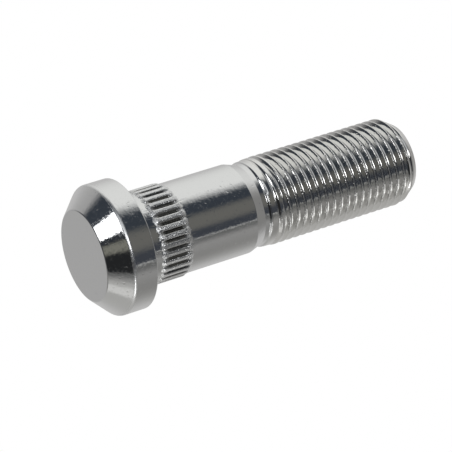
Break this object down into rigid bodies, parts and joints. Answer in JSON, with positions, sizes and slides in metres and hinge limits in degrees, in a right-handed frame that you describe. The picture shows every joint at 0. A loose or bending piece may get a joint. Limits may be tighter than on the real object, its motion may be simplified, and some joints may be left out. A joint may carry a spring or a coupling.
{
  "type": "wheel bolt",
  "caption": "Press-in wheel bolt of plated steel: round chamfered head, straight knurl that grips the hub flange, plain shank and a fine thread for the wheel nut.",
  "frame": {"origin": "centre of the head's outer face, on which the bolt stands", "axes": "+Z along the bolt's axis, from the head's face to the end of the thread"},
  "size_m": [0.0234, 0.0234, 0.0645],
  "materials": {
    "zinc_plated_steel": "bright zinc plate"
  },
  "bodies": {
    "root": {"wheel_bolt": "zinc_plated_steel"}
  },
  "joints": []
}
